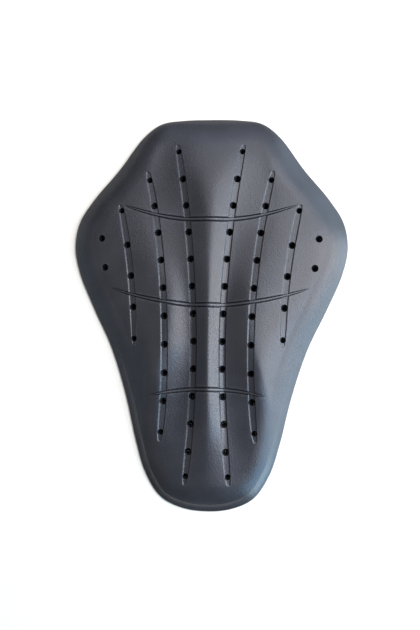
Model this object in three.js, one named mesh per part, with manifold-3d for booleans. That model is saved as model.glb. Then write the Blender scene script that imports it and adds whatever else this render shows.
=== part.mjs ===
import * as THREE from 'three';
import { mergeVertices } from 'three/addons/utils/BufferGeometryUtils.js';
import Module from 'manifold-3d';

// A back protector insert: one moulded foam pad, arched across, that lies hollow side down.
// Millimetres. +Y points to the neck end, +Z up from the floor, the origin is under the middle.

// Right half of the outline, from the middle of the neck end round to the middle of the foot
const OUTLINE = [
  { x: 0, y: 200 },
  { x: 30, y: 199.2 },
  { x: 52, y: 195.6 },
  { x: 70, y: 182 },
  { x: 96, y: 146.5 },
  { x: 121.5, y: 115.5 },
  { x: 135.8, y: 92 },
  { x: 140, y: 67 },
  { x: 134.8, y: 40 },
  { x: 119, y: 3 },
  { x: 99.5, y: -38 },
  { x: 83.5, y: -87 },
  { x: 73, y: -130 },
  { x: 62.5, y: -162.5 },
  { x: 46.5, y: -186.5 },
  { x: 25, y: -197 },
  { x: 0, y: -200 },
];

// Cross sections of the outer face, from the neck end to the foot. crown is the height on the spine,
// hump the height of the swell beside it, humpAt how far out that swell is, dip the depth of the
// valley between them, and crest how broadly the spine is rounded.
const SECTIONS = [
  { y: 190, crown: 12, hump: 9.2, humpAt: 50, dip: 0, crest: 16 },
  { y: 150, crown: 21.6, hump: 14.8, humpAt: 58, dip: 0.4, crest: 12 },
  { y: 110, crown: 27, hump: 16.8, humpAt: 66, dip: 3.8, crest: 8 },
  { y: 67, crown: 29.3, hump: 22.4, humpAt: 58, dip: 5.1, crest: 5.4 },
  { y: 20, crown: 30.2, hump: 26.4, humpAt: 42.5, dip: 6.1, crest: 2.7 },
  { y: -30, crown: 28, hump: 27.2, humpAt: 43, dip: 8, crest: 1.4 },
  { y: -70, crown: 25, hump: 22.4, humpAt: 55.5, dip: 8.5, crest: 1.7 },
  { y: -105, crown: 22, hump: 16, humpAt: 63, dip: 7.6, crest: 5.6 },
  { y: -145, crown: 16.7, hump: 12.4, humpAt: 56, dip: 2.2, crest: 5 },
  { y: -190, crown: 15, hump: 11.5, humpAt: 48.5, dip: 0, crest: 14 },
];

// Rim, lip and border, from the outline inward. The lip runs on smoothly from the border, but towards
// the foot of the pad it turns hollow: it is flat at the rim and steep where it meets the border.
const slopeOf = (degrees) => Math.tan(THREE.MathUtils.degToRad(degrees));
const PAD_THICKNESS = 9;
const RIM_HEIGHT = 2;
const RIM_CHAMFER = 0.8;
const LIP_WIDTH = 7.7;
const LIP_SLOPE = slopeOf(35);
const LIP_TOP = RIM_HEIGHT + LIP_WIDTH * LIP_SLOPE;
const LIP_HOLLOW = 0.26;
const LIP_HOLLOW_FROM = 10;
const LIP_HOLLOW_TO = -140;
const BORDER_WIDTH = 18;
const BORDER_SLOPE = slopeOf(33.5);
const BORDER_TOP = LIP_TOP + (BORDER_WIDTH - LIP_WIDTH) * BORDER_SLOPE;
const BORDER_BLEND = 6.2;
const SHOULDER_POWER = 1.6;
const SHOULDER_LEAST = 4;
const LAND_WIDTH = LIP_WIDTH + (PAD_THICKNESS - LIP_TOP) / BORDER_SLOPE;

// How far outside the inner groove's middle the valley beside the spine is deepest, and how far its
// two sides are rounded into each other, as a share of its depth
const VALLEY_OUT = 0.4;
const VALLEY_BLEND = 0.1;

// Vent grooves of the right half, each a shallow arc that is nearest the spine at its waist. holes
// is the number of large holes, in a row from firstHole on, and the end holes are small.
const GROOVES = [
  { waistX: 14.3, waistY: -41, radius: 1145, top: 170.4, foot: -173.3,
    holes: 11, firstHole: 133.2, pitch: 27.3, endHoles: [162.4, -164.1] },
  { waistX: 42.5, waistY: -41, radius: 790, top: 142.8, foot: -131,
    holes: 8, firstHole: 106.1, pitch: 28.05, endHoles: [133, -121.1] },
  { waistX: 74.1, waistY: -33.6, radius: 585, top: 108.4, foot: -36.2,
    holes: 3, firstHole: 65.7, pitch: 31.35, endHoles: [101.5, -28.5] },
];
const GROOVE_DEPTH = 1.4;
const GROOVE_FLOOR = 4.6;
const GROOVE_WALL_RUN = 1.5;
const GROOVE_TAPER_LENGTH = 36;
const GROOVE_TAPER_POWER = 0.25;
const GROOVE_TIP = 0.1;
const GROOVE_STEP = 22;

// Side holes of the right half, which no groove joins
const SIDE_HOLES = [
  { x: 109.5, y: 72.8 },
  { x: 105.4, y: 43.2 },
];

// Radius of the holes at the face, and its share that is left at the underside
const LARGE_HOLE_RADIUS = 3.5;
const SMALL_HOLE_RADIUS = 2.9;
const HOLE_TAPER = 0.5;
const HOLE_SIDES = 8;

// Cross beads, each with a narrow channel on both sides. bow is how far the ends lie beyond the middle.
const BEADS = [
  { y: 90.6, bow: 16.6, reach: 87.4 },
  { y: 5.1, bow: 17.8, reach: 99.4 },
  { y: -77.9, bow: -6.4, reach: 57 },
];
const BEAD_WIDTH = 2.5;
const BEAD_RISE = 0.5;
const BEAD_ROOT = 4;
const CHANNEL_WIDTH = 6;
const CHANNEL_DEPTH = 2;
const CHANNEL_FLOOR = 4.4;
const BEAD_STEPS = 20;
const BEAD_TIP = 0.25;

// How far a cutter stands out beyond the face that it cuts
const CUTTER_LIFT = 3;

// Mesh density: points in each span of the outline, and rings from the border in to the spine
const SPAN_POINTS = 2;
const FACE_RINGS = [0.84, 0.66, 0.48, 0.31, 0.17, 0.08, 0];
const UNDERSIDE_RINGS = [0.7, 0.4, 0.17, 0];
const SPINE_SHARE = 0.8;

const wasm = await Module();
wasm.setup();

// Points and inward normals along the right half of the outline
function outlineFrames() {
  const stations = OUTLINE.map(({ x, y }) => new THREE.Vector3(x, y, 0));
  const mirrored = (p) => new THREE.Vector3(-p.x, p.y, 0);
  const left = stations.slice(1, -1).reverse().map(mirrored);
  const curve = new THREE.CatmullRomCurve3([...stations, ...left], true, 'centripetal');
  const halfPoints = (OUTLINE.length - 1) * SPAN_POINTS;
  const frames = [];
  for (let i = 0; i <= halfPoints; i++) {
    const share = i / halfPoints / 2;
    const tangent = curve.getTangent(share);
    frames.push({ point: curve.getPoint(share), inward: new THREE.Vector3(tangent.y, -tangent.x, 0) });
  }
  return frames;
}

const FRAMES = outlineFrames();
const SEGMENTS = FRAMES.slice(1).map((frame, i) => new THREE.Line3(FRAMES[i].point, frame.point));

// How far a point lies inside the outline
function edgeDistance(x, y) {
  const point = new THREE.Vector3(Math.abs(x), y, 0);
  const nearest = new THREE.Vector3();
  const gaps = SEGMENTS.map((segment) => {
    segment.closestPointToPoint(point, true, nearest);
    return nearest.distanceTo(point);
  });
  return Math.min(...gaps);
}

// One column of the section table at y, as a smooth curve through its rows
function sectionValue(column, y) {
  const last = SECTIONS.length - 1;
  const row = (i) => SECTIONS[THREE.MathUtils.clamp(i, 0, last)];
  const clamped = THREE.MathUtils.clamp(y, SECTIONS[last].y, SECTIONS[0].y);
  const upper = Math.min(last - 1, SECTIONS.findIndex((_, i) => row(i + 1).y <= clamped));
  const slope = (i) => (row(i + 1)[column] - row(i - 1)[column]) / (row(i + 1).y - row(i - 1).y);
  const span = row(upper + 1).y - row(upper).y;
  const t = (clamped - row(upper).y) / span;
  const rise = row(upper + 1)[column] - row(upper)[column];
  const ease = t * t * (3 - 2 * t);
  const start = t * (1 - t) * (1 - t) * span * slope(upper);
  const end = t * t * (t - 1) * span * slope(upper + 1);
  return row(upper)[column] + ease * rise + start + end;
}

function grooveX(groove, y) {
  return groove.waistX + (y - groove.waistY) ** 2 / (2 * groove.radius);
}

// Depth of the valley beside the spine, deepest along the inner groove
function valleyDepth(x, y, humpAt) {
  const valleyAt = grooveX(GROOVES[0], y) + VALLEY_OUT;
  const crest = sectionValue('crest', y);
  const inner = (Math.hypot(x, crest) - crest) / (Math.hypot(valleyAt, crest) - crest);
  const out = THREE.MathUtils.clamp((x - valleyAt) / (humpAt - valleyAt), 0, 1);
  const outer = Math.cos((Math.PI / 2) * out) ** 2;
  return sectionValue('dip', y) * smoothMin(inner, outer, VALLEY_BLEND);
}

// Height of the arched body, before the border is taken off it
function bodyHeight(x, y, edge) {
  const crown = sectionValue('crown', y);
  const hump = sectionValue('hump', y);
  const humpAt = sectionValue('humpAt', y);
  if (x < humpAt) {
    const arch = (1 - (x / humpAt) ** 2) ** 2;
    return hump + (crown - hump) * arch - valleyDepth(x, y, humpAt);
  }
  const out = x - humpAt;
  const left = Math.max(SHOULDER_LEAST, edge - BORDER_WIDTH);
  const share = out / (out + left);
  return hump - Math.max(0, hump - BORDER_TOP) * share ** SHOULDER_POWER;
}

function smoothMin(a, b, blend) {
  const overlap = Math.max(0, blend - Math.abs(a - b)) / blend;
  return Math.min(a, b) - (overlap * overlap * blend) / 4;
}

// Height of the lip and of the border inside it
function edgeHeight(y, edge) {
  if (edge > LIP_WIDTH) return LIP_TOP + (edge - LIP_WIDTH) * BORDER_SLOPE;
  const hollow = THREE.MathUtils.smoothstep(-y, -LIP_HOLLOW_FROM, -LIP_HOLLOW_TO);
  const bend = THREE.MathUtils.lerp(LIP_SLOPE - BORDER_SLOPE, -LIP_HOLLOW, hollow);
  return RIM_HEIGHT + edge * (LIP_SLOPE + bend * (1 - edge / LIP_WIDTH));
}

// Height of the outer face, without its grooves and beads
function faceHeight(x, y, edge = edgeDistance(x, y)) {
  return smoothMin(edgeHeight(y, edge), bodyHeight(Math.abs(x), y, edge), BORDER_BLEND);
}

function undersideHeight(x, y, edge) {
  return Math.max(0, faceHeight(x, y, edge) - PAD_THICKNESS);
}

// A point of the right half, inset from the outline
function inset(frame, distance) {
  return frame.point.clone().addScaledVector(frame.inward, distance);
}

// A full ring of points at one inset, the left half mirrored from the right
function wholeRing(half) {
  const left = half.slice(1, -1).reverse().map((p) => new THREE.Vector3(-p.x, p.y, p.z));
  return [...half, ...left];
}

function borderRing(distance, height) {
  const half = FRAMES.map((frame) => {
    const point = inset(frame, distance);
    return point.setZ(height(point.x, point.y, distance));
  });
  return wholeRing(half);
}

// A ring inside the border, drawn in towards the spine: share 1 is the border, 0 the spine itself
function bodyRing(share, height) {
  const half = FRAMES.map((frame) => {
    const border = inset(frame, BORDER_WIDTH);
    const along = THREE.MathUtils.lerp(SPINE_SHARE, 1, share);
    const x = border.x * share;
    const y = border.y * along;
    return new THREE.Vector3(x, y, height(x, y, edgeDistance(x, y)));
  });
  return wholeRing(half);
}

// Triangles between rings of equal length, listed corner by corner
function band(rings) {
  const corners = [];
  const add = (...points) => points.forEach((p) => corners.push(p.x, p.y, p.z));
  for (let r = 0; r + 1 < rings.length; r++) {
    const [outer, inner] = [rings[r], rings[r + 1]];
    outer.forEach((point, i) => {
      const next = (i + 1) % outer.length;
      add(point, inner[i], inner[next]);
      add(point, inner[next], outer[next]);
    });
  }
  return corners;
}

// A solid from a closed list of corners, with shared points merged and empty triangles left out
function solidFrom(corners) {
  const loose = new THREE.BufferGeometry();
  loose.setAttribute('position', new THREE.Float32BufferAttribute(corners, 3));
  return solid(loose);
}

function solid(geometry) {
  const shape = geometry.clone();
  shape.deleteAttribute('normal');
  shape.deleteAttribute('uv');
  const merged = mergeVertices(shape, 1e-3);
  const index = merged.index.array;
  const triVerts = [];
  for (let i = 0; i < index.length; i += 3) {
    const [a, b, c] = index.slice(i, i + 3);
    if (a !== b && b !== c && c !== a) triVerts.push(a, b, c);
  }
  const vertProperties = new Float32Array(merged.attributes.position.array);
  const mesh = new wasm.Mesh({ numProp: 3, vertProperties, triVerts: new Uint32Array(triVerts) });
  return new wasm.Manifold(mesh);
}

// The arched shell with its border, flat land and rim, before anything is cut into it
function padBlank() {
  const face = (x, y, edge) => faceHeight(x, y, edge);
  const onFloor = () => 0;
  const rings = [
    ...UNDERSIDE_RINGS.map((share) => bodyRing(share, undersideHeight)).reverse(),
    borderRing(BORDER_WIDTH, undersideHeight),
    borderRing(LAND_WIDTH, onFloor),
    borderRing(0, onFloor),
    borderRing(0, () => RIM_HEIGHT - RIM_CHAMFER),
    borderRing(RIM_CHAMFER, face),
    borderRing(LIP_WIDTH / 2, face),
    borderRing(LIP_WIDTH, face),
    borderRing(BORDER_WIDTH, face),
    ...FACE_RINGS.map((share) => bodyRing(share, face)),
  ];
  return solidFrom(band(rings));
}

// A closed solid through equal rings, with a fan over each end. Seen along the path, each ring's
// points run clockwise, so the triangles are laid from the far end back to point outward.
function loft(rings) {
  const fan = (ring) => ring.slice(1, -1).flatMap((point, i) => [ring[0], point, ring[i + 2]]);
  const flat = (points) => points.flatMap((p) => [p.x, p.y, p.z]);
  const backward = [...rings].reverse();
  const farEnd = flat(fan(backward[0]));
  const nearEnd = flat(fan([...rings[0]].reverse()));
  return solidFrom([...farEnd, ...band(backward), ...nearEnd]);
}

// A section across a path at a point: profile gives the offset across and the height above the face
function acrossSection(x, y, across, profile) {
  return profile.map(([offset, height]) => {
    const point = new THREE.Vector3(x, y, 0).addScaledVector(across, offset);
    return point.setZ(faceHeight(point.x, point.y) + height);
  });
}

// Width of a groove, as a share of its full width, at a distance from its nearer tip
function grooveTaper(fromTip) {
  const left = 1 - THREE.MathUtils.clamp(fromTip / GROOVE_TAPER_LENGTH, 0, 1);
  return Math.max(GROOVE_TIP, (1 - left * left) ** GROOVE_TAPER_POWER);
}

function grooveCutter(groove, side) {
  const length = groove.top - groove.foot;
  const steps = Math.round(length / GROOVE_STEP);
  const rings = [];
  for (let i = 0; i <= steps; i++) {
    const y = groove.foot + (length * (1 - Math.cos((Math.PI * i) / steps))) / 2;
    const taper = grooveTaper(Math.min(y - groove.foot, groove.top - y));
    const lean = (y - groove.waistY) / groove.radius;
    const across = new THREE.Vector3(1, -lean * side, 0).normalize();
    const floor = (taper * GROOVE_FLOOR) / 2;
    const run = taper * GROOVE_WALL_RUN;
    const wide = floor + run * (1 + CUTTER_LIFT / GROOVE_DEPTH);
    const depth = GROOVE_DEPTH * Math.sqrt(taper);
    const profile = [[-wide, CUTTER_LIFT], [wide, CUTTER_LIFT], [floor, -depth], [-floor, -depth]];
    rings.push(acrossSection(side * grooveX(groove, y), y, across, profile));
  }
  return loft(rings);
}

// Sections along a cross bead from its left tip to its right tip, with a profile for each width
function beadRings(bead, profileAt) {
  const rings = [];
  for (let i = 0; i <= BEAD_STEPS; i++) {
    const u = -Math.cos((Math.PI * i) / BEAD_STEPS);
    const lean = (2 * bead.bow * u) / bead.reach;
    const across = new THREE.Vector3(-lean, 1, 0).normalize();
    const share = Math.max(BEAD_TIP, Math.sqrt(1 - u * u));
    rings.push(acrossSection(bead.reach * u, bead.y + bead.bow * u * u, across, profileAt(share)));
  }
  return rings;
}

function channelCutter(bead) {
  return loft(beadRings(bead, (share) => {
    const floor = (share * CHANNEL_FLOOR) / 2;
    const run = (share * (CHANNEL_WIDTH - CHANNEL_FLOOR)) / 2;
    const wide = floor + run * (1 + CUTTER_LIFT / CHANNEL_DEPTH);
    const depth = share * CHANNEL_DEPTH;
    return [[-floor, -depth], [floor, -depth], [wide, CUTTER_LIFT], [-wide, CUTTER_LIFT]];
  }));
}

function beadSolid(bead) {
  return loft(beadRings(bead, (share) => {
    const half = (share * BEAD_WIDTH) / 2;
    const rise = share * BEAD_RISE;
    const root = [[-half, -BEAD_ROOT], [half, -BEAD_ROOT]];
    const crown = [[half, 0], [half / 2, rise], [-half / 2, rise], [-half, 0]];
    return [...root, ...crown];
  }));
}

// A cone for one hole: radius is at the face, and it narrows on down through the pad
function holeCutter(x, y, radius) {
  const height = PAD_THICKNESS + 2 * CUTTER_LIFT;
  const narrowing = (radius * (1 - HOLE_TAPER)) / PAD_THICKNESS;
  const topRadius = radius + narrowing * CUTTER_LIFT;
  const cone = new THREE.CylinderGeometry(topRadius, topRadius - narrowing * height, height, HOLE_SIDES);
  cone.rotateX(Math.PI / 2);
  cone.translate(x, y, faceHeight(x, y) + CUTTER_LIFT - height / 2);
  return solid(cone);
}

// Every vent hole of one half
function holeCutters(side) {
  const cutters = SIDE_HOLES.map(({ x, y }) => holeCutter(side * x, y, LARGE_HOLE_RADIUS));
  for (const groove of GROOVES) {
    for (let i = 0; i < groove.holes; i++) {
      const y = groove.firstHole - i * groove.pitch;
      cutters.push(holeCutter(side * grooveX(groove, y), y, LARGE_HOLE_RADIUS));
    }
    for (const y of groove.endHoles) {
      cutters.push(holeCutter(side * grooveX(groove, y), y, SMALL_HOLE_RADIUS));
    }
  }
  return cutters;
}

// The whole pad: blank, grooves, bead channels, beads, then the holes through everything
function padSolid() {
  const sides = [1, -1];
  let pad = padBlank();
  const cut = (cutter) => {
    pad = pad.subtract(cutter);
  };
  sides.forEach((side) => GROOVES.forEach((groove) => cut(grooveCutter(groove, side))));
  BEADS.forEach((bead) => cut(channelCutter(bead)));
  BEADS.forEach((bead) => {
    pad = pad.add(beadSolid(bead));
  });
  sides.forEach((side) => holeCutters(side).forEach(cut));
  return pad;
}

function geometryOf(body) {
  const { vertProperties, triVerts } = body.getMesh();
  const geometry = new THREE.BufferGeometry();
  geometry.setAttribute('position', new THREE.BufferAttribute(vertProperties, 3));
  geometry.setIndex(new THREE.BufferAttribute(triVerts, 1));
  geometry.computeVertexNormals();
  return geometry;
}

const foam = new THREE.MeshStandardMaterial({ color: 0x2b2d33, roughness: 0.55, metalness: 0 });
const pad = new THREE.Mesh(geometryOf(padSolid()), foam);
pad.name = 'protector_pad';

const backProtector = new THREE.Group();
backProtector.add(pad);

export default backProtector;
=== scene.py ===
"""A back protector insert: one moulded foam pad, lying hollow side down on a pale floor."""
import math

import bpy
import numpy as np
from mathutils import Matrix, Vector
from mathutils.geometry import delaunay_2d_cdt
from mathutils.kdtree import KDTree


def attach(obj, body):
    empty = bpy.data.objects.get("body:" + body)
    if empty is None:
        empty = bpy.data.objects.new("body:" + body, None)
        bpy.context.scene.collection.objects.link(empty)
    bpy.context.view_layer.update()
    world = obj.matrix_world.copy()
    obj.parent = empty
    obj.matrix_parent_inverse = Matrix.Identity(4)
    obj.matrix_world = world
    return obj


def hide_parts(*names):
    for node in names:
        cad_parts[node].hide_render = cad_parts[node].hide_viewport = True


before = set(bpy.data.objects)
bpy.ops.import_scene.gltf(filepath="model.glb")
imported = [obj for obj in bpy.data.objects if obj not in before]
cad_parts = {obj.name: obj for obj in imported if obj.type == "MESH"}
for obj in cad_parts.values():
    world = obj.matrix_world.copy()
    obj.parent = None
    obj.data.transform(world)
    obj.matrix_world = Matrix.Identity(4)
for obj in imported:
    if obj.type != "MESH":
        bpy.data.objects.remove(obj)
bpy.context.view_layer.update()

# Sizes are in millimetres, as in the part's source, and MM turns them into metres.
MM = 0.001

# Right half of the outline, x and y, from the middle of the neck end round to the middle of the foot
OUTLINE = (
    (0, 200), (30, 199.2), (52, 195.6), (70, 182), (96, 146.5), (121.5, 115.5), (135.8, 92), (140, 67),
    (134.8, 40), (119, 3), (99.5, -38), (83.5, -87), (73, -130), (62.5, -162.5), (46.5, -186.5),
    (25, -197), (0, -200),
)

# Cross sections of the outer face, from the neck end to the foot: height on the spine, height of the
# swell beside it, how far out that swell is, depth of the valley between, and roundness of the spine
SECTION_COLUMNS = ("y", "crown", "hump", "hump_at", "dip", "crest")
SECTIONS = (
    (190, 12, 9.2, 50, 0, 16),
    (150, 21.6, 14.8, 58, 0.4, 12),
    (110, 27, 16.8, 66, 3.8, 8),
    (67, 29.3, 22.4, 58, 5.1, 5.4),
    (20, 30.2, 26.4, 42.5, 6.1, 2.7),
    (-30, 28, 27.2, 43, 8, 1.4),
    (-70, 25, 22.4, 55.5, 8.5, 1.7),
    (-105, 22, 16, 63, 7.6, 5.6),
    (-145, 16.7, 12.4, 56, 2.2, 5),
    (-190, 15, 11.5, 48.5, 0, 14),
)

# Rim, lip and border, from the outline inward. The lip runs on smoothly from the border, but towards
# the foot of the pad it turns hollow: it is flat at the rim and steep where it meets the border.
PAD_THICKNESS = 9
RIM_HEIGHT = 2
RIM_RADIUS = 0.8
LIP_WIDTH = 7.7
LIP_SLOPE = math.tan(math.radians(35))
LIP_TOP = RIM_HEIGHT + LIP_WIDTH * LIP_SLOPE
LIP_HOLLOW = 0.26
LIP_HOLLOW_FROM = 10
LIP_HOLLOW_TO = -140
BORDER_WIDTH = 18
BORDER_SLOPE = math.tan(math.radians(33.5))
BORDER_TOP = LIP_TOP + (BORDER_WIDTH - LIP_WIDTH) * BORDER_SLOPE
BORDER_BLEND = 6.2
LAND_WIDTH = LIP_WIDTH + (PAD_THICKNESS - LIP_TOP) / BORDER_SLOPE
SHOULDER_POWER = 1.6
SHOULDER_LEAST = 4

# How far outside the inner groove's middle the valley beside the spine is deepest, and how far its
# two sides are rounded into each other, as a share of its depth
VALLEY_OUT = 0.4
VALLEY_BLEND = 0.1

# Vent grooves of the right half: each is a shallow arc, nearest the spine at its waist
GROOVES = (
    dict(waist_x=14.3, waist_y=-41, radius=1145, top=170.4, foot=-173.3,
         holes=11, first_hole=133.2, pitch=27.3, end_holes=(162.4, -164.1)),
    dict(waist_x=42.5, waist_y=-41, radius=790, top=142.8, foot=-131,
         holes=8, first_hole=106.1, pitch=28.05, end_holes=(133, -121.1)),
    dict(waist_x=74.1, waist_y=-33.6, radius=585, top=108.4, foot=-36.2,
         holes=3, first_hole=65.7, pitch=31.35, end_holes=(101.5, -28.5)),
)
GROOVE_DEPTH = 1.0
GROOVE_FLOOR = 4.6
GROOVE_WALL_RUN = 1.5
GROOVE_WALL_ROUND = 0.3
GROOVE_TAPER_LENGTH = 36
GROOVE_TAPER_POWER = 0.25
GROOVE_END_RUN = 2.2

# Holes through the pad: places of those outside the grooves, radii on the face, the share of its width
# that a hole keeps at the underside, and the rounding of its edge
SIDE_HOLES = ((109.5, 72.8), (105.4, 43.2))
LARGE_HOLE = 3.5
SMALL_HOLE = 2.9
HOLE_TAPER = 0.3
HOLE_EDGE = 0.35

# Cross beads with a narrow channel on both sides: middle, how far the ends lie beyond it, half length
BEADS = (
    dict(y=90.6, bow=16.6, reach=87.4),
    dict(y=5.1, bow=17.8, reach=99.4),
    dict(y=-77.9, bow=-6.4, reach=57),
)
BEAD_FLAT_HALF = 0.65
BEAD_HALF = 1.25
BEAD_RISE = 0.5
BEAD_TIP_SHARE = 0.6
CHANNEL_HALF = 3
CHANNEL_FLOOR_HALF = 1.3
CHANNEL_DEPTH = 2

# Mesh density: steps along the lines that the triangles follow, with steps of their own in a groove's
# tip until it has a share of its width, steps between the points that fill the rest, finer steps near
# the holes, and the least room round a filling point, as a share of its step
OUTLINE_SPAN_POINTS = 60
OUTLINE_STEP = 2.6
SPINE_STEP = 2.5
GROOVE_STEP = 2.4
GROOVE_TIP_SHARE = 0.6
GROOVE_TIP_POINTS = 8
BEAD_STEP = 1.6
FACE_STEP = 2.5
UNDERSIDE_STEP = 6
HOLE_POINTS = 24
HOLE_NEAR = 1.2
HOLE_STEPS = 8
HOLE_GAP = 0.12
CLEARANCE = 0.45

# Where those lines lie: inside the outline, outside a hole's edge, up a groove's wall as a share of
# its width, and on both sides of a bead's middle
RIM_RINGS = (0, 0.12, 0.4, 0.8, 1.6, 3.2, 5.2, 6.6, 7.3, 7.6, LIP_WIDTH, 7.8, 8.2, 9, 10.5, 13, 16,
             18, 20, 22, 24)
UNDERSIDE_RINGS = (0, 0.12, 0.4, 0.8, 3, 6, 8.5, LAND_WIDTH, 12, 15, 18)
HOLE_RINGS = (0, HOLE_EDGE / 4, HOLE_EDGE)
GROOVE_WALL_LINES = (0, 0.1, 0.2, 0.3, 0.5, 0.7, 0.8, 0.9, 1)
BEAD_LINES = (0, 0.4, 0.65, 0.86, 1.02, 1.15, 1.22, 1.29, 1.7, 2.2, 2.36, 2.6, 2.84, 3)

# Counts and limits of the arithmetic, and the kind of triangulation: one of all that the points span
POINTS_AT_ONCE = 4000
WALL_HALVINGS = 24
OFF_BEAD = -99.0
BEAD_TIP_LEAST = 1e-3
NORMAL_STEP = 0.02
SPINE_TOLERANCE = 1e-4
MERGE_DISTANCE = 1e-5
WHOLE_HULL = 0


def smooth_min(a, b, blend):
    """The lower of two values, rounded where they are less than blend apart."""
    overlap = np.maximum(0, blend - np.abs(a - b)) / blend
    return np.minimum(a, b) - overlap ** 2 * blend / 4


def smooth_step(share):
    """A share from 0 to 1 that starts and ends gently."""
    share = np.clip(share, 0, 1)
    return share * share * (3 - 2 * share)


def centripetal_curve(points, span_points):
    """Points on a smooth closed curve through the given points, with as many in each span."""
    count = len(points)
    curve = []
    for i in range(count):
        a, b, c, d = (points[(i + k) % count] for k in (-1, 0, 1, 2))
        before, span, after = (math.sqrt(math.dist(p, q)) for p, q in ((a, b), (b, c), (c, d)))
        start = ((b - a) / before - (c - a) / (before + span) + (c - b) / span) * span
        end = ((c - b) / span - (d - b) / (span + after) + (d - c) / after) * span
        for k in range(span_points):
            t = k / span_points
            ease = t * t * (3 - 2 * t)
            curve.append(b + ease * (c - b) + t * (1 - t) ** 2 * start + t * t * (t - 1) * end)
    return np.array(curve)


def outline_half():
    """The right half of the outline in even steps, from the neck end to the foot, with inward normals."""
    right = np.array(OUTLINE, float)
    left = right[-2:0:-1] * (-1, 1)
    dense = centripetal_curve(np.vstack([right, left]), OUTLINE_SPAN_POINTS)
    dense = dense[:(len(OUTLINE) - 1) * OUTLINE_SPAN_POINTS + 1]
    dense[[0, -1], 0] = 0
    along = np.concatenate([[0], np.cumsum(np.linalg.norm(np.diff(dense, axis=0), axis=1))])
    steps = np.linspace(0, along[-1], round(along[-1] / OUTLINE_STEP) + 1)
    points = np.column_stack([np.interp(steps, along, dense[:, k]) for k in (0, 1)])
    tangent = np.gradient(points, axis=0)
    tangent[[0, -1], 1] = 0
    inward = np.column_stack([tangent[:, 1], -tangent[:, 0]])
    return points, inward / np.linalg.norm(inward, axis=1, keepdims=True)


EDGE, EDGE_INWARD = outline_half()


def edge_distance(x, y):
    """How far points lie inside the outline, negative outside it."""
    start, along = EDGE[:-1], np.diff(EDGE, axis=0)
    length_squared = (along ** 2).sum(axis=1)
    distance = []
    for part in np.array_split(np.column_stack([np.abs(x), y]), max(1, len(x) // POINTS_AT_ONCE)):
        offset = part[:, None] - start
        t = np.clip((offset * along).sum(axis=2) / length_squared, 0, 1)
        gap = ((offset - t[..., None] * along) ** 2).sum(axis=2)
        turn = along[:, 1] * offset[..., 0] - along[:, 0] * offset[..., 1]
        nearest = gap.argmin(axis=1)
        row = np.arange(len(part))
        distance.append(np.sqrt(gap[row, nearest]) * np.sign(turn[row, nearest]))
    return np.concatenate(distance)


def inside_outline(x, y):
    """Which points of the right half lie inside the outline."""
    start, end = EDGE[:-1], EDGE[1:]
    spans = (start[:, 1] > y[:, None]) != (end[:, 1] > y[:, None])
    rise = end[:, 1] - start[:, 1]
    share = (y[:, None] - start[:, 1]) / np.where(rise == 0, 1, rise)
    crossing = start[:, 0] + share * (end[:, 0] - start[:, 0])
    return (spans & (crossing > x[:, None])).sum(axis=1) % 2 == 1


def section_value(column, y):
    """One column of the section table at y, as a smooth curve through its rows."""
    rows = np.array(SECTIONS[::-1], float)
    at, value = rows[:, 0], rows[:, SECTION_COLUMNS.index(column)]
    padded_at = np.concatenate([at[:1], at, at[-1:]])
    padded_value = np.concatenate([value[:1], value, value[-1:]])
    slope = (padded_value[2:] - padded_value[:-2]) / (padded_at[2:] - padded_at[:-2])
    y = np.clip(y, at[0], at[-1])
    low = np.clip(np.searchsorted(at, y, side="right") - 1, 0, len(at) - 2)
    span = at[low + 1] - at[low]
    t = (y - at[low]) / span
    ease = t * t * (3 - 2 * t)
    bend = t * (1 - t) ** 2 * span * slope[low] + t * t * (t - 1) * span * slope[low + 1]
    return value[low] + ease * (value[low + 1] - value[low]) + bend


def groove_x(groove, y):
    """How far the middle of a groove lies from the spine."""
    return groove["waist_x"] + (y - groove["waist_y"]) ** 2 / (2 * groove["radius"])


def valley_depth(x, y, hump_at):
    """Depth of the valley beside the spine, deepest along the inner groove."""
    valley_at = groove_x(GROOVES[0], y) + VALLEY_OUT
    crest = section_value("crest", y)
    inner = (np.hypot(x, crest) - crest) / (np.hypot(valley_at, crest) - crest)
    out = np.clip((x - valley_at) / (hump_at - valley_at), 0, 1)
    outer = np.cos(math.pi / 2 * out) ** 2
    return section_value("dip", y) * smooth_min(inner, outer, VALLEY_BLEND)


def body_height(x, y, edge):
    """Height of the arched body, before the border is taken off it."""
    crown, hump, hump_at = (section_value(name, y) for name in ("crown", "hump", "hump_at"))
    arch = np.maximum(0, 1 - (x / hump_at) ** 2) ** 2
    inner = hump + (crown - hump) * arch - valley_depth(x, y, hump_at)
    out = np.maximum(0, x - hump_at)
    left = np.maximum(SHOULDER_LEAST, edge - BORDER_WIDTH)
    share = out / (out + left)
    outer = hump - np.maximum(0, hump - BORDER_TOP) * share ** SHOULDER_POWER
    return np.where(x < hump_at, inner, outer)


def edge_height(y, edge):
    """Height of the lip and of the border inside it."""
    hollow = smooth_step((LIP_HOLLOW_FROM - y) / (LIP_HOLLOW_FROM - LIP_HOLLOW_TO))
    bend = LIP_SLOPE - BORDER_SLOPE - hollow * (LIP_SLOPE - BORDER_SLOPE + LIP_HOLLOW)
    lip = RIM_HEIGHT + edge * (LIP_SLOPE + bend * (1 - edge / LIP_WIDTH))
    border = LIP_TOP + (edge - LIP_WIDTH) * BORDER_SLOPE
    return np.where(edge < LIP_WIDTH, lip, border)


def face_height(x, y, edge):
    """Height of the outer face, without its grooves and beads."""
    return smooth_min(edge_height(y, edge), body_height(np.abs(x), y, edge), BORDER_BLEND)


def rim_rounding(edge):
    """How far the rounded edge of the rim falls away."""
    short = np.maximum(0, RIM_RADIUS - edge)
    return RIM_RADIUS - np.sqrt(np.maximum(0, RIM_RADIUS ** 2 - short ** 2))


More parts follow.
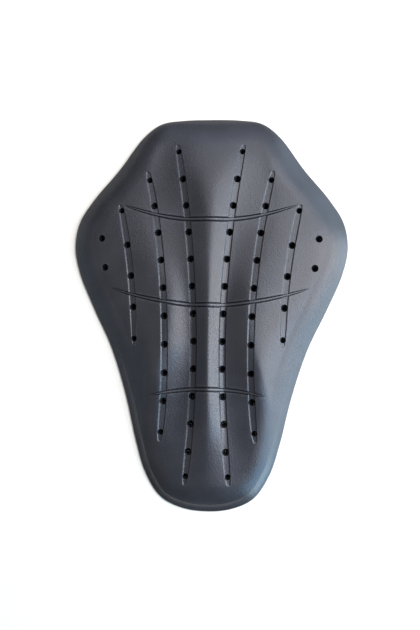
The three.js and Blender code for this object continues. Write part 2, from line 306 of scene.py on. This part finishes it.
def underside_height(x, y, edge):
    """Height of the underside: a flat land round the rim, and a hollow that follows the face."""
    hollow = np.maximum(0, face_height(x, y, edge) - PAD_THICKNESS)
    return np.maximum(hollow, rim_rounding(edge))


def groove_taper(from_tip):
    """Width of a groove, as a share of its full width, at a distance from its nearer tip."""
    left = 1 - np.clip(from_tip / GROOVE_TAPER_LENGTH, 0, 1)
    return (1 - left * left) ** GROOVE_TAPER_POWER


def groove_half_width(wall, from_tip):
    """Half width of a groove on a line up its wall: 0 is the foot of the wall, 1 its top edge."""
    full = GROOVE_FLOOR / 2 + GROOVE_WALL_RUN * wall
    return full * groove_taper(from_tip - (1 - wall) * GROOVE_END_RUN)


def wall_rise(wall):
    """Height of a groove's wall as a share: a straight slope, rounded at its foot and its top edge."""
    steep = 1 / (1 - GROOVE_WALL_ROUND)
    foot = np.minimum(wall, GROOVE_WALL_ROUND)
    head = np.maximum(0, wall - 1 + GROOVE_WALL_ROUND)
    middle = wall - foot
    return steep * (foot ** 2 / (2 * GROOVE_WALL_ROUND) + middle - head ** 2 / (2 * GROOVE_WALL_ROUND))


def groove_depth(x, y):
    """Depth of the grooves below the face. Halving finds how far up the wall a point lies."""
    depth = np.zeros_like(x)
    for groove in GROOVES:
        from_tip = np.minimum(groove["top"] - y, y - groove["foot"])
        lean = (y - groove["waist_y"]) / groove["radius"]
        offset = np.abs(np.abs(x) - groove_x(groove, y)) / np.hypot(1, lean)
        inside = np.flatnonzero((from_tip > 0) & (offset < groove_half_width(1, from_tip)))
        low, high = np.zeros(len(inside)), np.ones(len(inside))
        for _ in range(WALL_HALVINGS):
            wall = (low + high) / 2
            wider = groove_half_width(wall, from_tip[inside]) > offset[inside]
            low, high = np.where(wider, low, wall), np.where(wider, wall, high)
        depth[inside] = GROOVE_DEPTH * np.sqrt(groove_taper(from_tip[inside])) * (1 - wall_rise(low))
    return depth


def bead_relief(x, y):
    """Depth of the channels beside the beads, and the beads' own height, which is far down off them."""
    channel, crown = np.zeros_like(x), np.full_like(x, OFF_BEAD)
    for bead in BEADS:
        u = np.clip(x / bead["reach"], -1, 1)
        lean = 2 * bead["bow"] * u / bead["reach"]
        share = np.maximum(np.sqrt(1 - u * u), BEAD_TIP_LEAST)
        offset = np.abs(y - bead["y"] - bead["bow"] * u * u) / np.hypot(1, lean) / share
        full = smooth_step(share / BEAD_TIP_SHARE)
        wall = smooth_step((CHANNEL_HALF - offset) / (CHANNEL_HALF - CHANNEL_FLOOR_HALF))
        channel = np.maximum(channel, full * CHANNEL_DEPTH * wall)
        out = np.clip((offset - BEAD_FLAT_HALF) / (BEAD_HALF - BEAD_FLAT_HALF), 0, 1)
        height = full * (BEAD_RISE + (np.sqrt(1 - out * out) - 1) * (BEAD_RISE + CHANNEL_DEPTH))
        crown = np.where((offset <= BEAD_HALF) & (np.abs(x) < bead["reach"]), height, crown)
    return channel, crown


def hole_list():
    """Centre and radius of every hole of the right half."""
    holes = [(x, y, LARGE_HOLE) for x, y in SIDE_HOLES]
    for groove in GROOVES:
        for i in range(groove["holes"]):
            y = groove["first_hole"] - i * groove["pitch"]
            holes.append((groove_x(groove, y), y, LARGE_HOLE))
        holes += [(groove_x(groove, y), y, SMALL_HOLE) for y in groove["end_holes"]]
    return np.array(holes)


HOLES = hole_list()
UNDERSIDE_HOLES = HOLES * (1, 1, HOLE_TAPER)


def hole_distance(x, y, holes=HOLES):
    """Distance from the nearest hole's edge, negative inside it."""
    gap = np.hypot(x[:, None] - holes[:, 0], y[:, None] - holes[:, 1]) - holes[:, 2]
    return gap.min(axis=1)


def finished_face(x, y, edge):
    """Height of the outer face with everything that is moulded into it."""
    channel, crown = bead_relief(x, y)
    plain = face_height(x, y, edge) - rim_rounding(edge)
    cut = plain - np.maximum(groove_depth(x, y), channel)
    short = np.clip(HOLE_EDGE - hole_distance(x, y), 0, HOLE_EDGE)
    rounding = HOLE_EDGE - np.sqrt(HOLE_EDGE ** 2 - short ** 2)
    return np.maximum(cut, plain + crown) - rounding


def level_at(height, points, dx, dy):
    """A height function at points that are moved a little."""
    x, y = points[:, 0] + dx, points[:, 1] + dy
    return height(x, y, edge_distance(x, y))


def normals_of(height, points):
    """Directions square to a height function at some points of the right half."""
    step = NORMAL_STEP
    along_x = (level_at(height, points, step, 0) - level_at(height, points, -step, 0)) / (2 * step)
    along_y = (level_at(height, points, 0, step) - level_at(height, points, 0, -step)) / (2 * step)
    normals = np.column_stack([-along_x, -along_y, np.ones_like(along_x)])
    return normals / np.linalg.norm(normals, axis=1, keepdims=True)


def point_tree(points, first=0):
    """A tree that finds the nearest of some flat points, which are numbered from first."""
    tree = KDTree(len(points))
    for i, (x, y) in enumerate(points):
        tree.insert((x, y, 0), first + i)
    tree.balance()
    return tree


def finer_near_holes(points, closed):
    """The points of a line, with more of them in each step that ends near a hole."""
    ends = np.roll(points, -1, axis=0)
    near = np.minimum(*(hole_distance(p[:, 0], p[:, 1]) for p in (points, ends))) < HOLE_NEAR
    last = len(points) if closed else len(points) - 1
    parts = []
    for i in range(last):
        steps = HOLE_STEPS if near[i] else 1
        parts.append(points[i] + np.arange(steps)[:, None] / steps * (ends[i] - points[i]))
    if not closed:
        parts.append(points[-1:])
    return np.vstack(parts)


class Plan:
    """Points and lines of one sheet, seen from above, that its triangles have to keep."""

    def __init__(self, holes):
        self.holes = holes
        self.points = []
        self.edges = []

    def line(self, points, closed=False):
        """A line that the triangles follow, with finer steps near a hole and none inside it."""
        points = finer_near_holes(np.asarray(points, float), closed)
        first = len(self.points)
        clear = hole_distance(points[:, 0], points[:, 1], self.holes) > HOLE_EDGE + HOLE_GAP
        index = np.full(len(points), -1)
        index[clear] = first + np.arange(clear.sum())
        self.points += [tuple(p) for p in points[clear]]
        self.join(index, closed)

    def ring(self, points):
        """A closed line that is kept whole, as round a hole."""
        first = len(self.points)
        self.points += [tuple(p) for p in points]
        self.join(np.arange(first, first + len(points)), True)

    def join(self, index, closed):
        """Edges between neighbours on a line, apart from points that are left out."""
        ends = np.roll(index, -1) if closed else index[1:]
        pairs = zip(index, ends)
        self.edges += [(int(a), int(b)) for a, b in pairs if a >= 0 and b >= 0]

    def fill(self, step):
        """An even spread of points wherever the sheet is still bare."""
        tree = point_tree(self.points)
        row_step = step * math.sqrt(3) / 2
        for row, y in enumerate(np.arange(EDGE[-1, 1], EDGE[0, 1], row_step)):
            xs = np.arange(step / 2 * (row % 2), EDGE[:, 0].max(), step)
            for x in xs[inside_outline(xs, np.full_like(xs, y))]:
                if tree.find((x, y, 0))[2] > step * CLEARANCE:
                    self.points.append((x, y))

    def triangles(self):
        """Points and triangles of the sheet, with the holes left open."""
        flat = [Vector(p) for p in self.points]
        points, _, faces, _, _, _ = delaunay_2d_cdt(flat, self.edges, [], WHOLE_HULL, MERGE_DISTANCE)
        points, faces = np.array([tuple(p) for p in points]), np.array(faces)
        middle = points[faces].mean(axis=1)
        x, y = middle[:, 0], middle[:, 1]
        keep = inside_outline(x, y) & (hole_distance(x, y, self.holes) > 0)
        return points, faces[keep]


def circle(x, y, radius):
    """Points round a hole."""
    turn = np.linspace(0, 2 * math.pi, HOLE_POINTS, endpoint=False)
    return np.column_stack([x + radius * np.cos(turn), y + radius * np.sin(turn)])


def groove_tip_steps():
    """Distances from a groove's tip at which its width has grown by even steps."""
    shares = np.linspace(0, GROOVE_TIP_SHARE, GROOVE_TIP_POINTS)
    left = np.sqrt(1 - shares ** (1 / GROOVE_TAPER_POWER))
    return GROOVE_TAPER_LENGTH * (1 - left)


def groove_line(groove, wall):
    """A closed line along both walls of a groove, which meet at its tips."""
    tip_steps = groove_tip_steps()
    half = (groove["top"] - groove["foot"]) / 2 - (1 - wall) * GROOVE_END_RUN
    middle = (groove["top"] + groove["foot"]) / 2
    straight = np.linspace(tip_steps[-1], half, round(half / GROOVE_STEP))
    y = middle + half - np.concatenate([tip_steps[:-1], straight])
    y = np.concatenate([y, 2 * middle - y[-2::-1]])
    width = groove_half_width(wall, np.minimum(groove["top"] - y, y - groove["foot"]))
    width[[0, -1]] = 0
    out = width * np.hypot(1, (y - groove["waist_y"]) / groove["radius"])
    right = np.column_stack([groove_x(groove, y) + out, y])
    left = np.column_stack([groove_x(groove, y) - out, y])
    return np.vstack([right, left[-2:0:-1]])


def bead_line(bead, offset):
    """A line along a bead from the spine to its tip, where its offset from the middle has run out."""
    count = round(bead["reach"] / BEAD_STEP)
    u = np.sin(np.linspace(0, math.pi / 2, count))
    lean = np.hypot(1, 2 * bead["bow"] * u / bead["reach"])
    y = bead["y"] + bead["bow"] * u * u + offset * np.sqrt(1 - u * u) * lean
    return np.column_stack([bead["reach"] * u, y])


def add_rings(plan, insets):
    """Lines that follow the outline, and the spine between their ends."""
    for inset in insets:
        plan.line(EDGE + EDGE_INWARD * inset)
    spine = np.arange(EDGE[-1, 1], EDGE[0, 1] + SPINE_TOLERANCE, SPINE_STEP)
    plan.line(np.column_stack([np.zeros_like(spine), spine]))


def add_grooves(plan):
    """Lines up both walls of every groove."""
    for groove in GROOVES:
        for wall in GROOVE_WALL_LINES:
            plan.line(groove_line(groove, wall), closed=True)


def add_beads(plan):
    """Lines along every bead and its channels."""
    offsets = sorted({side * line for line in BEAD_LINES for side in (1, -1)})
    for bead in BEADS:
        for offset in offsets:
            plan.line(bead_line(bead, offset))


def add_holes(plan):
    """Rings round every hole, from its wall out past its rounded edge."""
    for x, y, radius in plan.holes:
        for ring in HOLE_RINGS:
            plan.ring(circle(x, y, radius + ring))


def face_plan():
    """The plan of the outer face."""
    plan = Plan(HOLES)
    add_rings(plan, RIM_RINGS)
    add_grooves(plan)
    add_beads(plan)
    add_holes(plan)
    plan.fill(FACE_STEP)
    return plan


def underside_plan():
    """The plan of the underside, which is plain apart from its holes."""
    plan = Plan(UNDERSIDE_HOLES)
    add_rings(plan, UNDERSIDE_RINGS)
    add_holes(plan)
    plan.fill(UNDERSIDE_STEP)
    return plan


class Skin:
    """Faces of the right half, with a direction for each corner so that creases stay crisp."""

    def __init__(self):
        self.points = np.empty((0, 3))
        self.faces = []
        self.corners = []

    def add_sheet(self, plan, height, up):
        """One side of the pad. Returns the tree that finds its points."""
        flat, faces = plan.triangles()
        level = level_at(height, flat, 0, 0)
        normals = normals_of(height, flat) * up
        faces = faces[:, ::up]
        first = len(self.points)
        self.points = np.vstack([self.points, np.column_stack([flat, level])])
        self.faces += [tuple(face) for face in (faces + first).tolist()]
        self.corners += normals[faces].reshape(-1, 3).tolist()
        return point_tree(flat, first)

    def add_wall(self, high_line, low_line, outward, upper, lower, closed):
        """Quads between a line of the face and a line of the underside."""
        high = [upper.find((x, y, 0))[1] for x, y in high_line]
        low = [lower.find((x, y, 0))[1] for x, y in low_line]
        count = len(high)
        for i in range(count if closed else count - 1):
            k = (i + 1) % count
            self.faces.append((high[i], low[i], low[k], high[k]))
            here, there = (*outward[i], 0), (*outward[k], 0)
            self.corners += [here, here, there, there]

    def mirrored(self):
        """Points, faces and corner directions of the whole pad."""
        count = len(self.points)
        off_spine = np.abs(self.points[:, 0]) > SPINE_TOLERANCE
        index = np.arange(count)
        index[off_spine] = count + np.arange(off_spine.sum())
        points = np.vstack([self.points, self.points[off_spine] * (-1, 1, 1)])
        faces, corners = list(self.faces), list(self.corners)
        at = 0
        for face in self.faces:
            faces.append(tuple(int(index[i]) for i in face[::-1]))
            ends = self.corners[at:at + len(face)]
            corners += [(-x, y, z) for x, y, z in ends[::-1]]
            at += len(face)
        return points, faces, corners


def pad_skin():
    """The right half as one skin: face, underside, rim wall and hole walls."""
    skin = Skin()
    upper = skin.add_sheet(face_plan(), finished_face, 1)
    lower = skin.add_sheet(underside_plan(), underside_height, -1)
    rim = EDGE[::-1]
    skin.add_wall(rim, rim, -EDGE_INWARD[::-1], upper, lower, False)
    for (x, y, high_radius), (_, _, low_radius) in zip(HOLES, UNDERSIDE_HOLES):
        high_ring = circle(x, y, high_radius)[::-1]
        low_ring = circle(x, y, low_radius)[::-1]
        skin.add_wall(high_ring, low_ring, ((x, y) - high_ring) / high_radius, upper, lower, True)
    return skin


# How far round a point the face is compared with it, and how far it stands out where its painted
# highlight is full
HIGHLIGHT_REACH = 1.2
HIGHLIGHT_FULL = 0.5


def paint_edge_highlight(points):
    """How far each point stands out from the face round it, from 0 to 1, for a painted highlight on
    edges.
    """
    right = np.column_stack([np.abs(points[:, 0]), points[:, 1]])
    steps = ((HIGHLIGHT_REACH, 0), (-HIGHLIGHT_REACH, 0), (0, HIGHLIGHT_REACH), (0, -HIGHLIGHT_REACH))
    around = np.mean([level_at(finished_face, right, dx, dy) for dx, dy in steps], axis=0)
    return np.clip((points[:, 2] - around) / HIGHLIGHT_FULL, 0, 1)


def make_pad():
    """The whole pad as one closed mesh, with its painted edge highlight kept at each point."""
    points, faces, corners = pad_skin().mirrored()
    mesh = bpy.data.meshes.new("protector_pad_skin")
    mesh.from_pydata((points * MM).tolist(), [], faces)
    mesh.polygons.foreach_set("use_smooth", [True] * len(faces))
    mesh.normals_split_custom_set(corners)
    # This attribute holds a painted highlight: how much paler the colour is on edges that stand out.
    mesh.attributes.new("painted_highlight", "FLOAT", "POINT").data.foreach_set("value", paint_edge_highlight(points))
    pad = bpy.data.objects.new("foam_pad", mesh)
    bpy.context.collection.objects.link(pad)
    return pad


# Foam rubber: its tones from deep to pale, the palest also a painted highlight on edges, the scales of
# its noise per metre, its roughness from satin to matt, and its grain's strength and its height in metres
FOAM_TONES = (
    dict(at=0.3, colour=(0.0245, 0.0245, 0.0275, 1)),
    dict(at=0.7, colour=(0.0345, 0.0345, 0.0385, 1)),
    dict(at=1.0, colour=(0.0465, 0.0465, 0.051, 1)),
)
FOAM_IOR = 1.5
PATCH_SCALE = 28
HIGHLIGHT_BREAKUP_SCALE = 190
GRAIN_SCALE = 700
SATIN = 0.25
MATT = 0.35
GRAIN_STRENGTH = 0.75
GRAIN_HEIGHT = 0.0003


def noise(tree, scale):
    """The value of a noise that is fixed to the pad."""
    place = tree.nodes.new("ShaderNodeTexCoord")
    texture = tree.nodes.new("ShaderNodeTexNoise")
    texture.inputs["Scale"].default_value = scale
    tree.links.new(place.outputs["Object"], texture.inputs["Vector"])
    return texture.outputs["Fac"]


def foam_colour(tree, patches):
    """Tone that follows the patches, and is paler in broken streaks along edges that stand out: a painted
    highlight.
    """
    painted_highlight = tree.nodes.new("ShaderNodeAttribute")
    painted_highlight.attribute_name = "painted_highlight"
    # Edges that stand out are painted paler, broken up by noise: a painted highlight, not real wear.
    tone = tree.nodes.new("ShaderNodeMath")
    tone.operation = "MULTIPLY_ADD"
    for socket, part in zip(tone.inputs, (painted_highlight.outputs["Fac"], noise(tree, HIGHLIGHT_BREAKUP_SCALE), patches)):
        tree.links.new(part, socket)
    colours = tree.nodes.new("ShaderNodeValToRGB")
    stops = colours.color_ramp.elements
    stops.new(FOAM_TONES[1]["at"])
    for stop, tint in zip(stops, FOAM_TONES):
        stop.position = tint["at"]
        stop.color = tint["colour"]
    tree.links.new(tone.outputs["Value"], colours.inputs["Fac"])
    return colours.outputs["Color"]


def foam_gloss(tree, patches):
    """Roughness that follows the patches."""
    gloss = tree.nodes.new("ShaderNodeMapRange")
    gloss.inputs["To Min"].default_value = SATIN
    gloss.inputs["To Max"].default_value = MATT
    tree.links.new(patches, gloss.inputs["Value"])
    return gloss.outputs["Result"]


def foam_grain(tree):
    """Directions of the surface with the fine grain of the mould."""
    grain = tree.nodes.new("ShaderNodeBump")
    grain.inputs["Strength"].default_value = GRAIN_STRENGTH
    grain.inputs["Distance"].default_value = GRAIN_HEIGHT
    tree.links.new(noise(tree, GRAIN_SCALE), grain.inputs["Height"])
    return grain.outputs["Normal"]


def foam_material():
    """Satin, near-black moulded foam rubber: fine grain, uneven tone and gloss, and edges painted paler
    as a highlight.
    """
    material = bpy.data.materials.new("foam_rubber")
    material.use_nodes = True
    tree = material.node_tree
    shader = tree.nodes["Principled BSDF"]
    shader.inputs["IOR"].default_value = FOAM_IOR
    patches = noise(tree, PATCH_SCALE)
    tree.links.new(foam_colour(tree, patches), shader.inputs["Base Color"])
    tree.links.new(foam_gloss(tree, patches), shader.inputs["Roughness"])
    tree.links.new(foam_grain(tree), shader.inputs["Normal"])
    return material


# Camera, fitted to the photograph's vent holes: place in millimetres, turn in degrees, lens in pixels
CAMERA_PLACE = (42.8, -52.8, 720)
CAMERA_TURN = (-3.973, -3.323, -0.631)
CAMERA_FOCAL_PIXELS = 708
PHOTO_HEIGHT_PIXELS = 630
SENSOR = 36


def make_camera():
    """The camera at the photograph's viewing angle. Its turn is an axis whose length is the angle."""
    data = bpy.data.cameras.new("photo_camera")
    data.sensor_width = SENSOR
    data.lens = CAMERA_FOCAL_PIXELS / PHOTO_HEIGHT_PIXELS * SENSOR
    turn = Vector(math.radians(a) for a in CAMERA_TURN)
    world_to_camera = Matrix.Rotation(turn.length, 4, turn)
    camera = bpy.data.objects.new("photo_camera", data)
    camera.matrix_world = Matrix.Translation(Vector(CAMERA_PLACE) * MM) @ world_to_camera.transposed()
    bpy.context.collection.objects.link(camera)
    bpy.context.scene.camera = camera


# Floor: half its width in metres, and its finish
FLOOR_HALF = 6
FLOOR_COLOR = (0.93, 0.87, 0.74)
FLOOR_ROUGHNESS = 0.8


def make_floor():
    """A plain pale floor under the pad."""
    corners = [(x * FLOOR_HALF, y * FLOOR_HALF, 0) for x, y in ((-1, -1), (1, -1), (1, 1), (-1, 1))]
    mesh = bpy.data.meshes.new("floor")
    mesh.from_pydata(corners, [], [(0, 1, 2, 3)])
    floor = bpy.data.objects.new("floor", mesh)
    bpy.context.collection.objects.link(floor)
    material = bpy.data.materials.new("pale_floor")
    material.use_nodes = True
    shader = material.node_tree.nodes["Principled BSDF"]
    shader.inputs["Base Color"].default_value = (*FLOOR_COLOR, 1)
    shader.inputs["Roughness"].default_value = FLOOR_ROUGHNESS
    mesh.materials.append(material)


# Soft lights round the pad, all aimed at its middle: turn from +X towards +Y and lift above the floor
# in degrees, size in metres, and glow in red, green and blue
LIGHT_DISTANCE = 1.6
LIGHTS = (
    dict(name="right_low", turn=0, lift=8, wide=1.0, tall=0.46, glow=(7.0, 8.9, 10.5)),
    dict(name="right_bright", turn=0, lift=28, wide=1.0, tall=0.24, glow=(12.2, 12.0, 12.6)),
    dict(name="right_middle", turn=0, lift=40, wide=1.0, tall=0.46, glow=(4.6, 4.4, 4.2)),
    dict(name="right_high", turn=0, lift=52, wide=1.0, tall=0.24, glow=(6.0, 5.9, 6.7)),
    dict(name="right_higher", turn=0, lift=60, wide=1.0, tall=0.24, glow=(3.0, 2.6, 2.1)),
    dict(name="right_top", turn=0, lift=72, wide=1.0, tall=0.4, glow=(2.5, 2.7, 3.4)),
    dict(name="front_corner", turn=-38, lift=8, wide=0.9, tall=0.46, glow=(6.3, 9.0, 10.9)),
    dict(name="front_corner_high", turn=-38, lift=32, wide=0.9, tall=0.92, glow=(1.8, 3.5, 5.5)),
    dict(name="back_corner", turn=38, lift=24, wide=0.9, tall=1.38, glow=(1.8, 2.4, 3.1)),
    dict(name="back_corner_high", turn=38, lift=56, wide=0.9, tall=0.46, glow=(4.4, 4.4, 4.8)),
    dict(name="back_low", turn=85, lift=30, wide=1.3, tall=0.56, glow=(0.9, 1.0, 1.4)),
    dict(name="back_high", turn=85, lift=50, wide=1.3, tall=0.56, glow=(2.2, 2.2, 2.4)),
    dict(name="back_top", turn=85, lift=70, wide=1.0, tall=0.4, glow=(1.7, 1.6, 1.6)),
    dict(name="left_low", turn=180, lift=16, wide=1.5, tall=0.92, glow=(0.25, 0.35, 0.45)),
    dict(name="left_high", turn=180, lift=50, wide=1.5, tall=0.92, glow=(0.4, 0.36, 0.34)),
)
ROOM_GLOW = (0.02, 0.02, 0.02)


def make_light(name, turn, lift, wide, tall, glow):
    """A soft rectangle whose surface has the given glow."""
    turn, lift = math.radians(turn), math.radians(lift)
    outward = Vector((math.cos(lift) * math.cos(turn), math.cos(lift) * math.sin(turn), math.sin(lift)))
    data = bpy.data.lights.new(name, "AREA")
    data.shape = "RECTANGLE"
    data.size, data.size_y = wide, tall
    data.energy = math.pi * wide * tall * max(glow)
    data.color = [part / max(glow) for part in glow]
    light = bpy.data.objects.new(name, data)
    light.location = outward * LIGHT_DISTANCE
    light.rotation_euler = outward.to_track_quat("Z", "Y").to_euler()
    bpy.context.collection.objects.link(light)


def make_room():
    """A dim room with the soft lights in it."""
    world = bpy.data.worlds.new("room")
    bpy.context.scene.world = world
    world.use_nodes = True
    background = world.node_tree.nodes["Background"]
    background.inputs["Color"].default_value = (*ROOM_GLOW, 1)
    background.inputs["Strength"].default_value = 1
    for light in LIGHTS:
        make_light(**light)


bpy.context.scene.view_settings.view_transform = "Standard"
make_camera()
make_floor()
make_room()
pad = make_pad()
pad.data.materials.append(foam_material())
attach(pad, "root")
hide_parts("protector_pad")
